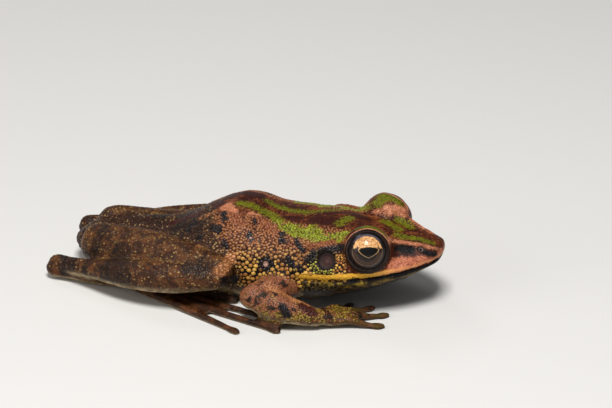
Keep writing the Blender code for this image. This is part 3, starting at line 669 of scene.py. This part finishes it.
def settle(places, sizes):
    """The indexes of places that keep their distance from those taken before."""
    taken, grid = [], {}
    near = [(i, j, k) for i in (-1, 0, 1) for j in (-1, 0, 1) for k in (-1, 0, 1)]
    for index, (place, size) in enumerate(zip(places.tolist(), sizes.tolist())):
        x, y, z = (math.floor(value / CELL) for value in place)
        others = (other for i, j, k in near for other in grid.get((x + i, y + j, z + k), ()))
        if all(math.dist(place, other) >= (size + wide) * TOUCH for other, wide in others):
            grid.setdefault((x, y, z), []).append((place, size))
            taken.append(index)
    return np.array(taken)


draw = np.random.default_rng(SEED)
places, normals = random_places(GRANULE_TRIES, draw)
region = paint(places, normals)
arm, leg, low, rear = (region[name] for name in ("arm", "leg", "low", "rear"))
ear, grain, under = (region[name] for name in ("ear", "grain", "under"))
limb = arm + leg
density = np.where(limb < 0.5, 1.8 * grain - 0.15, 0.9 * grain ** 2) * (1 - 0.4 * rear - 0.3 * leg)
kept = draw.random(GRANULE_TRIES) < density
kept &= (under < 0.3) & (places[:, 2] > 0.5) & (ear > EAR_SPREAD)
sizes = 0.2 + 0.11 * low * (1 - limb) * (1 - rear) - 0.05 * arm
sizes -= 0.045 * np.maximum(rear, leg) + 0.05 * np.clip(0.6 - grain, 0, 1)
sizes = np.where(ear < 3.0, 0.19, sizes) * (0.58 + 0.6 * draw.random(GRANULE_TRIES))
tall = np.where(limb < 0.5, 0.62 + 0.38 * low, 0.5)
order = np.flatnonzero(kept)[np.argsort(-sizes[kept])]
spacing = sizes * (1 + 0.22 * low * (1 - limb))
taken = order[settle(places[order], spacing[order])]
places, normals, sizes, tall = places[taken], normals[taken], sizes[taken], tall[taken]
region = {name: values[taken] for name, values in region.items()}
print("granules:", len(places))

# %% [markdown]
# So that the colours of so many small things can be baked on a map, each granule gets a small patch of its
# own there. It lies at the granule's place on an unwrap of the skin's shape, and the unwrap is made
# on a coarse copy of the skin, which is removed again.

# %% Map the granules
UNWRAP_VOXEL = 0.8
PATCH = 0.003  # how wide a granule's patch is on the map


def places_on_map(places):
    """Where each place on the skin lies on an unwrap of its shape."""
    coarse = add_object("coarse", skin.data.copy())
    modify(coarse, "REMESH", mode="VOXEL", voxel_size=UNWRAP_VOXEL * MM)
    edit(coarse, bpy.ops.uv.smart_project, angle_limit=math.radians(66), island_margin=0.003)
    mesh = coarse.data
    tree = search_tree([mesh])
    layer = mesh.uv_layers.active.data
    found = []
    for place in places:
        nearest, _, index, _ = tree.find_nearest(spot(*place))
        polygon = mesh.polygons[index]
        weights = poly_3d_calc([mesh.vertices[k].co for k in polygon.vertices], nearest)
        corners = [layer[k].uv * weight for k, weight in zip(polygon.loop_indices, weights)]
        found.append(sum(corners, Vector((0, 0))))
    bpy.data.objects.remove(coarse)
    return np.array(found)


map_places = places_on_map(places)
print("places on the map from", map_places.min(0).round(2), "to", map_places.max(0).round(2))

# %% Build the granules
PROFILE = ((1.10, -0.15), (0.96, 0.12), (0.60, 0.38))  # each ring's width and height
PEAK, SUNK = 0.48, 0.3  # how high the top and how deep the foot lies
# the crown darkens each granule towards its foot, a painted shade where it meets the skin
CROWN = (0.0, 0.45, 1.0)  # how far up its dome each ring lies, for the colour
STRETCH = 0.25  # how much longer than wide a granule is at most
SIDES = 6
TOP = len(PROFILE) * SIDES  # the number of the top corner, and the foot's is the next
PER_DOME = TOP + 2


def dome_faces():
    """The triangles of one dome, each by its corners' numbers."""
    faces = []
    for k in range(SIDES):
        n = (k + 1) % SIDES
        for ring in range(0, TOP - SIDES, SIDES):
            faces.append((ring + k, ring + n, ring + SIDES + n))
            faces.append((ring + k, ring + SIDES + n, ring + SIDES + k))
        faces += [(TOP - SIDES + k, TOP - SIDES + n, TOP), (n, k, TOP + 1)]
    return np.array(faces)


def domes(name, places, normals, sizes, tall, map_places, draw):
    """One mesh of low domes, each with its foot sunk in the skin."""
    count = len(places)
    turn = draw.random(count) * math.tau
    guide = np.where(np.abs(normals[:, 2:3]) < 0.9, (0, 0, 1), (1, 0, 0))
    first = np.cross(normals, guide)
    first /= np.linalg.norm(first, axis=1)[:, None]
    second = np.cross(normals, first)
    stretch = 1 + STRETCH * draw.random(count)
    rings, patches = [], []
    for wide, high in PROFILE:
        for k in range(SIDES):
            angle = turn + math.tau * k / SIDES
            along, aside = np.cos(angle) * wide, np.sin(angle) * wide
            out = first * (along * stretch)[:, None] + second * aside[:, None]
            rings.append(places + (out + normals * (high * tall)[:, None]) * sizes[:, None])
            patches.append(map_places + np.column_stack((along, aside)) * PATCH / 2)
    rings.append(places + normals * (PEAK * tall * sizes)[:, None])
    rings.append(places - normals * (SUNK * sizes)[:, None])
    patches += [map_places, map_places]
    frog = np.stack(rings, axis=1).reshape(-1, 3)
    world = np.column_stack((SNOUT_X - frog[:, 0], MIDDLE_Y - frog[:, 1], np.maximum(frog[:, 2], 0))) * MM
    faces = (dome_faces() + PER_DOME * np.arange(count)[:, None, None]).reshape(-1, 3)
    mesh = bpy.data.meshes.new(name)
    mesh.from_pydata(world.tolist(), [], faces.tolist())
    corner_of_loop = np.empty(len(mesh.loops), np.int32)
    mesh.loops.foreach_get("vertex_index", corner_of_loop)
    patch_of_loop = np.stack(patches, axis=1).reshape(-1, 2)[corner_of_loop]
    mesh.uv_layers.new(name="OFBake").data.foreach_set("uv", patch_of_loop.ravel())
    group = add_object(name, mesh)
    edit(group, bpy.ops.mesh.normals_make_consistent, inside=False)
    bpy.ops.object.shade_smooth()
    return group


granules = []
on_arm, on_leg, on_right = region["arm"] > 0.5, region["leg"] > 0.5, places[:, 1] > 0
on_trunk = ~on_arm & ~on_leg
GROUPS = (
    ("granules_right", "flank_skin", on_trunk & on_right),
    ("granules_left", "flank_skin", on_trunk & ~on_right),
    ("granules_arms", "arm_skin", on_arm),
    ("granules_legs", "leg_skin", on_leg),
)
for name, slot, share in GROUPS:
    chosen = (values[share] for values in (places, normals, sizes, tall, map_places))
    group = domes(name, *chosen, draw)
    count = int(share.sum())
    for field, values in region.items():
        store(group, field, np.repeat(values[share], PER_DOME))
    store(group, "tint", np.repeat(draw.random(count), PER_DOME))
    store(group, "crown", np.tile(np.append(np.repeat(CROWN, SIDES), (1.0, 0.0)), count))
    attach(group, "root")
    granules.append(group)
    print(name, "triangles:", len(group.data.polygons))

# %% [markdown]
# The frog's skin is built up in layers as a painter would: a reddish ground, the browns of the legs
# and arms, gold low on the flanks, then the green, the maroon and the black marks. The granules take
# the light tone of each layer and the skin between them the dark one.

# %% The skin's material
PALETTE = {  # a dark tone between the granules and on them, then a light one
    "flank": ((54, 25, 10), (108, 56, 26), (80, 42, 20), (146, 90, 46)),
    "middle": ((42, 21, 9), (116, 68, 30), (62, 34, 15), (172, 124, 66)),
    "lowest": ((14, 8, 4), (140, 88, 32), (26, 15, 8), (204, 158, 72)),
    # the rear's tones are its own dark brown, darkened further as a painted shade for the less lit back
    "rear": ((42, 20, 9), (58, 30, 14), (80, 40, 18), (98, 68, 32)),
    "leg": ((52, 28, 13), (66, 38, 18), (90, 52, 25), (106, 78, 36)),
    "arm": ((34, 19, 9), (52, 32, 15), (116, 66, 42), (142, 86, 56)),
    "ear": ((20, 15, 7), (112, 104, 30), (48, 40, 14), (180, 172, 70)),
    "gold": ((30, 17, 8), (150, 92, 34), (44, 26, 11), (204, 154, 70)),
    "back": ((56, 19, 7), (72, 29, 12), (116, 60, 28), (126, 68, 34)),
    "leaf": ((52, 48, 7), (84, 84, 13), (112, 112, 14), (142, 150, 26)),
}
FLESH = {"Subsurface_Weight": 0.05, "Subsurface_Scale": 0.0005}  # a little light runs under the surface


def ground_colours(s, place, raised):
    """The layers of colour, for the granules where raised and for the skin between them where not."""
    step, blend, noise, field = s.step, s.blend, s.noise, s.field
    wobble = noise(place, 0.8, 5, 0.65) * 1.6
    broad = noise(place, 3.0, 3)
    speck = noise(place, 0.2, 2)
    crumb = noise(place, 0.4, 2)
    mottle = noise(place, 1.6, 4, 0.6, 0.6)
    streak = noise(s.node("ShaderNodeMapping", {}, {0: place, 3: (1, 1, 0.3)}), 0.5, 3)
    bars = noise(s.node("ShaderNodeMapping", {}, {0: place, 3: (1, 0.35, 0.35)}), 4.0, 2)
    low, grain, rear, leg = map(field, ("low", "grain", "rear", "leg"))
    ear, chin, front, in_throat = map(field, ("ear", "chin", "front", "throat"))
    lean = field("tint") if raised else speck

    def tone(between, top):
        return colour(*(top if raised else between))

    def shades(name, share):
        """The two tones of this name mixed."""
        dark_between, dark_top, light_between, light_top = PALETTE[name]
        return blend(share, tone(dark_between, dark_top), tone(light_between, light_top))

    bead = step(lean + wobble * 0.2, 0.1, 0.9)
    flank = s.over(
        shades("flank", step(streak + lean * 0.2, -0.1, 0.2)),
        (step(low + wobble * 0.2, 0.08, 0.4), shades("middle", bead)),
        (step(low + wobble * 0.25, 0.5, 0.85), shades("lowest", bead)),
    )
    # The rear of the body is painted darker: its own dark brown, and a painted shade where the back lies
    # away from the light.
    rear_tone_and_shade = shades("rear", step(lean + broad * 2, 0.3, 1.1))
    leg_tone = shades("leg", step(mottle, -0.06, 0.1))
    if raised:
        pinpoints = step(lean, 0.74, 0.84) * 0.8
        rear_tone_and_shade = blend(pinpoints, rear_tone_and_shade, colour(158, 124, 76))
        leg_tone = blend(pinpoints, leg_tone, colour(150, 118, 64))
    dark_bars = step(bars + wobble * 0.15, 0.04, 0.12) * step(leg + rear, 0.4, 0.9)
    olive = step(mottle + speck * 0.4 + field("arm_low") * 0.14, 0.08, 0.14)
    arm_tone = shades("arm", step(mottle, -0.09, -0.03))
    arm_tone = blend(olive, arm_tone, tone((72, 54, 16), (148, 120, 46)))
    forward = s.node("ShaderNodeSeparateXYZ", {}, {0: place}) * (1 / MM)
    ahead = step(forward, SNOUT_X - 15.6, SNOUT_X - 14.6)
    ear_tone = blend(ahead, shades("ear", step(lean, 0.3, 0.8)), shades("gold", bead))
    near_ear = (1 - step(ear, 2.5, 3.2)) * step(low, 0.05, 0.25) * step(grain, 0.1, 0.4)

    tan = step(field("tan") + wobble * 0.9, -0.2, 0.5)
    pink = step(field("pink") + wobble * 0.9 + speck * 0.6, -0.2, 0.4)
    deep = step(grain, 0.05, 0.4) if not raised else 1.0
    pink_dark = blend(deep, colour(160, 94, 64), tone((92, 46, 24), (122, 66, 37)))
    pink_light = blend(deep, colour(216, 144, 106), tone((130, 74, 42), (158, 98, 60)))
    pink_tone = blend(step(speck + streak, -0.15, 0.2), pink_dark, pink_light)
    maroon = step(field("maroon") + wobble * 0.9 + speck * 0.5, -0.2, 0.2)

    patches = step(wobble + broad * 0.5 + speck * 0.4, -0.05, 0.25)
    jaw = blend(patches, colour(40, 26, 9), colour(146, 120, 38))
    # The throat is painted near black: its own dark mottling, and a painted shade under the chin.
    throat = blend(step(wobble + mottle, 0.0, 0.3), colour(14, 8, 4), colour(62, 43, 19))
    throat = blend(step(in_throat + wobble * 0.5, 1.1, 1.9), jaw, throat)
    belly = blend(step(wobble, -0.2, 0.25), colour(112, 88, 56), colour(190, 170, 130))
    pale_belly = field("under") * (1 - step(in_throat, 0.0, 0.8) * 0.85)
    loreal = blend(step(speck + wobble * 0.4, -0.15, 0.2), colour(136, 72, 50), colour(204, 126, 92))
    ragged = noise(place, 1.2, 3) * chin * 3.8
    soft = 0.16 + (1 - chin) * front * 0.35
    lip_tone = blend(front, colour(218, 166, 52), colour(244, 160, 110))
    lip_tone = blend(step(speck + wobble * 0.3, -0.1, 0.25) * 0.5, lip_tone, colour(186, 122, 44))

    crumbs = speck * (1.4 if raised else 2.2)
    green = step(field("green") + wobble * 1.3 + broad * 0.9 + crumbs, -0.15, 0.3)
    black = step(field("black") + wobble * 0.9 + speck * 0.5, -0.1, 0.2)
    pale = step(field("pale") + wobble * 0.25, -0.05, 0.15)
    ground = s.over(
        shades("back", step(broad + wobble * 0.35 + crumb * 0.9, -0.12, 0.16)),
        (step(grain, 0.05, 0.5), flank),
        (rear, rear_tone_and_shade),
        (near_ear, ear_tone),
        (leg, leg_tone),
        (dark_bars * 0.8, tone((24, 12, 6), (40, 24, 12))),
        (field("arm"), arm_tone),
        (tan * 0.85, tone((132, 82, 46), (192, 130, 84))),
        (pink * 0.85, pink_tone),
        (maroon, tone((52, 17, 8), (70, 27, 15))),
        (step(in_throat + wobble * 0.3, -0.05, 0.25), throat),
        (pale_belly, belly),
        (step(field("loreal") + wobble * 0.5, -0.05, 0.45), loreal),
        (step(field("lip") + wobble * 0.3 + ragged, 0.0, soft), lip_tone),
        (green, shades("leaf", step(speck + wobble * 0.25, -0.14, 0.1))),
        (black, tone((10, 6, 6), (26, 16, 16))),
        (pale, tone((140, 108, 92), (160, 124, 108))),
        (1 - step(ear, 1.48, 1.62), colour(30, 17, 11)),
    )
    return ground, wobble, speck


def skin_material():
    s = Shader("wet_granular_skin")
    place = s.place()
    ground, wobble, speck = ground_colours(s, place, False)
    ring, nostril = s.field("ring"), s.field("nostril")
    cells = {"Vector": place, "Scale": 1 / (0.36 * MM)}
    pebble = s.step(s.node("ShaderNodeTexVoronoi", {"feature": "DISTANCE_TO_EDGE"}, cells), 0.0, 0.22)
    lid = s.blend(s.step(wobble + speck, -0.2, 0.3), colour(14, 8, 5), colour(34, 20, 13))
    # a thin paler line round the middle of the lid is a painted sheen on its edge
    lid = s.blend(1 - s.step(abs(ring - 3.2), 0.02, 0.1), lid, colour(52, 38, 34))
    lid_edge = s.blend(s.field("lid_top"), colour(30, 16, 9), colour(192, 126, 94))
    ground = s.over(
        # the grooves between the pebbles of the bump are darkened, a painted shade in these small hollows
        s.blend((1 - pebble) * 0.3, ground, (0.30, 0.24, 0.22), "MULTIPLY"),
        (1 - s.step(ring + wobble * 0.12, 3.66, 3.86), lid_edge),
        (1 - s.step(ring + wobble * 0.08, 3.48, 3.6), lid),
        ((1 - s.step(abs(nostril - 0.4), 0.04, 0.14)) * 0.7, colour(118, 98, 92)),
        # the nostril's opening is painted near black, a painted shade inside the hole
        (1 - s.step(nostril, 0.18, 0.3), colour(8, 5, 5)),
    )
    height = (pebble * 0.6 + speck * 0.5) * s.step(ring, 3.5, 3.9)
    bump = s.node("ShaderNodeBump", {}, {"Strength": 0.7, "Distance": 0.09 * MM, "Height": height})
    s.set(Base_Color=ground, Roughness=0.4 + speck * 0.25, Normal=bump, Specular_IOR_Level=0.16, **FLESH)
    return s.material


def granule_material():
    s = Shader("wet_granules")
    ground, _, speck = ground_colours(s, s.place(), True)
    # each granule is darker towards its foot, a painted shade where it meets the skin
    ground = s.blend(1 - s.field("crown"), ground, (0.34, 0.27, 0.22), "MULTIPLY")
    s.set(Base_Color=ground, Roughness=0.28 + speck * 0.2, Specular_IOR_Level=0.3, **FLESH)
    return s.material


skin.data.materials.clear()
skin.data.materials.append(skin_material())
beads = granule_material()
for group in granules:
    group.data.materials.append(beads)
pick(skin)
bpy.ops.object.shade_smooth_by_angle(angle=math.radians(50))
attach(skin, "root")
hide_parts(*[name for name in covered if not name.startswith("tympanum")])
print("skin triangles:", triangles(skin))

# %% [markdown]
# The eardrum is a bare, tight disc with a low boss in its middle, where the ear bone is fixed. It is
# a filled circle whose rings are inset and pushed in or out, laid on the solid's own flat face.

# %% The eardrums
DRUM_RADIUS, DRUM_THICKNESS = 1.34, 0.15
DRUM_SUNK = 0.02  # how deep it starts under the solid's face
DRUM_RINGS = ((0.16, 0.05), (0.2, -0.08), (0.35, -0.03), (0.3, 0.03), (0.2, 0.02))  # inset and push


def middle_of(faces):
    return sum((p.center * p.area for p in faces), Vector()) / sum(p.area for p in faces)


def drum_place(node):
    """The middle of a tympanum's outer face and the way it faces."""
    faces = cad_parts[node].data.polygons
    middle = middle_of(faces)
    outer = [p for p in faces if (p.center - middle).dot(Vector((0, middle.y - MIDDLE_Y * MM, 0))) > 0]
    widest = max(outer, key=lambda p: p.area)
    cap = [p for p in outer if p.normal.dot(widest.normal) > 0.99]
    return middle_of(cap), widest.normal.copy()


def eardrum(node):
    centre, outward = drum_place(node)
    bpy.ops.mesh.primitive_circle_add(
        vertices=48, radius=DRUM_RADIUS * MM, fill_type="NGON",
        location=centre - outward * DRUM_SUNK * MM, rotation=turned(outward),
    )
    drum = bpy.context.active_object
    drum.name = drum.data.name = node.replace("tympanum", "eardrum")
    bpy.ops.object.mode_set(mode="EDIT")
    for inset, push in DRUM_RINGS:
        bpy.ops.mesh.inset(thickness=inset * MM)
        bpy.ops.transform.translate(value=outward * push * MM)
    bpy.ops.mesh.poke()
    bpy.ops.object.mode_set(mode="OBJECT")
    bpy.ops.object.transform_apply()
    modify(drum, "SUBSURF", levels=1, render_levels=1)
    modify(drum, "SOLIDIFY", thickness=DRUM_THICKNESS * MM, offset=-1.0)
    bpy.ops.object.shade_smooth()
    drum.data.materials.append(drum_material(centre))
    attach(drum, "root")
    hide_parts(node)
    return drum


def drum_material(centre):
    s = Shader("eardrum")
    place = s.place()
    measure = {"operation": "DISTANCE"}
    away = s.node("ShaderNodeVectorMath", measure, {0: place, 1: tuple(centre)}, "Value") * (1 / MM)
    cloud = s.noise(place, 0.4, 4)
    ground = s.over(
        s.blend(s.step(cloud, -0.15, 0.15), colour(36, 18, 14), colour(54, 30, 24)),
        (s.step(away + cloud * 0.3, 0.85, 1.15), colour(24, 13, 11)),
        (1 - s.step(away, 0.15, 0.4), colour(66, 40, 34)),
    )
    bump = s.node("ShaderNodeBump", {}, {"Strength": 0.5, "Distance": 0.04 * MM, "Height": cloud})
    s.set(Base_Color=ground, Roughness=0.55, Normal=bump, Specular_IOR_Level=0.12)
    return s.material


eardrums = [eardrum("tympanum_right"), eardrum("tympanum_left")]
print("eardrums:", len(eardrums))

# %% [markdown]
# A frog's eye is a ball with a black pupil that lies level, a bright gold band above it and a dark
# iris below, under a clear cornea. The pattern is drawn on a map that measures millimetres from the
# middle of the eye, so it follows the eyeball wherever it looks.

# %% The eyeballs
EYE_RADIUS = 3.32
OFF_IRIS = (9, 9)  # on the map, for the back of the eye


def eyeball(side):
    """A ball whose map gives, on its front, millimetres forwards and up from the middle of the iris."""
    centre, look = eye_centre(side), gaze(side)
    eye = ball_at_eye(side, EYE_RADIUS)
    eye.name = eye.data.name = "eyeball_right" if side == RIGHT else "eyeball_left"
    bpy.ops.object.transform_apply()
    upward = (Vector((0, 0, 1)) - look * look.z).normalized()
    forward = upward.cross(look) if side == RIGHT else look.cross(upward)
    for layer in list(eye.data.uv_layers):
        eye.data.uv_layers.remove(layer)
    layer = eye.data.uv_layers.new(name="iris")
    for loop in eye.data.loops:
        arm_out = (eye.data.vertices[loop.vertex_index].co - centre) / MM
        front = arm_out.dot(look) > 0
        layer.data[loop.index].uv = (arm_out.dot(forward), arm_out.dot(upward)) if front else OFF_IRIS
    bpy.ops.object.shade_smooth()
    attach(eye, "root")
    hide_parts("eye_right" if side == RIGHT else "eye_left")
    return eye


eyes = [eyeball(side) for side in (RIGHT, LEFT)]
print("eyeballs:", len(eyes))

# %% The iris


def iris_material():
    s = Shader("golden_iris")
    forward = s.node("ShaderNodeSeparateXYZ", {}, {0: s.node("ShaderNodeUVMap", {"uv_map": "iris"})})
    up = Signal(s, forward.socket.node.outputs["Y"])
    place = s.place()
    cloud = s.noise(place, 0.5, 4)
    fleck = s.noise(place, 0.16, 3)
    radius = s.sum("SQRT", forward * forward + up * up)
    along = abs(forward - 0.18)
    top_edge = 0.64 - along * along * 0.2 - up
    below = s.sum("MAXIMUM", (0.34 - up) * 0.76, 0.0)
    side_edge = 1.44 - below * below * 1.44 - along
    inside = s.sum("MINIMUM", top_edge, side_edge)
    pupil = s.step(inside, -0.02, 0.03)
    rim = s.step(inside, -0.22, -0.16) * (1 - s.step(inside, -0.1, -0.04)) * (1 - s.step(up, 0.2, 0.6))
    gold_floor = 0.6 - along * 0.08 + cloud * 1.1 + fleck * 0.5
    gold = s.step(up - gold_floor, -0.05, 0.12) * (1 - s.step(radius + cloud * 0.3, 2.2, 2.3))
    arc = s.step(radius + cloud * 0.4, 1.5, 1.75) * (1 - s.step(radius + cloud * 0.3, 2.1, 2.25))
    thread = s.step(radius + cloud * 0.1, 2.2, 2.26) * (1 - s.step(radius + cloud * 0.1, 2.32, 2.4))
    thread = thread * (1 - s.step(up, -0.4, 0.8))
    # a grey-lilac arc at the top of the iris, a painted sheen on the wet eye
    sheen = s.step(radius, 2.28, 2.36) * (1 - s.step(radius, 2.46, 2.56)) * s.step(up, 1.0, 1.9)
    dark = s.blend(s.step(cloud, -0.1, 0.25), colour(12, 7, 5), colour(34, 22, 15))
    cream = s.blend(s.step(fleck + cloud * 0.5, -0.08, 0.18), colour(218, 168, 110), colour(126, 70, 34))
    ground = s.over(
        dark,
        (arc * s.step(0.3 - up, 0.0, 1.0) * 0.24, colour(108, 72, 44)),
        (thread * 0.45, colour(150, 112, 80)),
        (sheen * 0.6, colour(104, 96, 112)),
        (gold, cream),
        (rim * 0.75, colour(204, 160, 112)),
        (pupil, (0.002, 0.002, 0.002)),
        (s.step(radius, 2.6, 2.68), (0.004, 0.003, 0.003)),
    )
    s.set(
        Base_Color=ground, Roughness=0.4, Specular_IOR_Level=0.2,
        Coat_Weight=0.5, Coat_Roughness=0.02, Coat_IOR=1.34,
    )
    return s.material


iris = iris_material()
for eye in eyes:
    eye.data.materials.append(iris)
print("iris made")

# %% [markdown]
# The frog sits on a plain pale floor under soft lights, one wide lamp above and in front, one to fill
# and one behind for the rim of the back. The camera has a long lens, as for a small shy animal.

# %% Floor and light
FLOOR_SIZE = 3.0
bpy.ops.mesh.primitive_plane_add(size=FLOOR_SIZE)
floor = bpy.context.active_object
floor.name = "floor"
floor_paint = Shader("pale_floor")
floor_paint.set(Base_Color=(0.62, 0.605, 0.58), Roughness=0.8, Specular_IOR_Level=0.2)
floor.data.materials.append(floor_paint.material)

world = bpy.data.worlds.new("studio")
scene.world = world
world.use_nodes = True
sky = world.node_tree.nodes["Background"].inputs
sky["Color"].default_value = (0.95, 0.97, 1.0, 1)
sky["Strength"].default_value = 0.15
scene.view_settings.view_transform = "Standard"
AIM = Vector((0, 0, 0.006))
LAMPS = (  # name, place, width and power
    ("key", (0.06, -0.20, 0.45), 0.14, 3.0),
    ("fill", (-0.35, -0.30, 0.20), 0.30, 0.6),
    ("rim", (-0.35, 0.25, 0.40), 0.20, 0.4),
)
for name, place, size, power in LAMPS:
    light = bpy.data.lights.new(name, "AREA")
    light.size, light.energy = size, power
    lamp = add_object(name, light)
    lamp.location = place
    lamp.rotation_euler = (AIM - Vector(place)).to_track_quat("-Z", "Y").to_euler()
print("lamps:", len(LAMPS))

# %% Camera
AZIMUTH, ELEVATION = math.radians(16), math.radians(26)
FRAME_WIDTH = 94.15  # millimetres that the picture spans at the frog
SNOUT_HEIGHT = 10.6
SNOUT_RIGHT, SNOUT_UP = 21.23, -6.0  # of the snout tip from the middle of the picture
DISTANCE = 500.0
back = Vector((
    math.sin(AZIMUTH) * math.cos(ELEVATION), -math.cos(AZIMUTH) * math.cos(ELEVATION), math.sin(ELEVATION)
))
across = Vector((math.cos(AZIMUTH), math.sin(AZIMUTH), 0))
upward = back.cross(across)
target = spot(0, 0, SNOUT_HEIGHT) - (across * SNOUT_RIGHT + upward * SNOUT_UP) * MM
camera = add_object("camera", bpy.data.cameras.new("camera"))
camera.data.sensor_width = 36.0
camera.data.lens = camera.data.sensor_width * DISTANCE / FRAME_WIDTH
camera.data.clip_start, camera.data.clip_end = 0.01, 10.0
camera.location = target + back * DISTANCE * MM
camera.rotation_euler = turned(back)
scene.camera = camera
print("lens:", round(camera.data.lens), "mm")
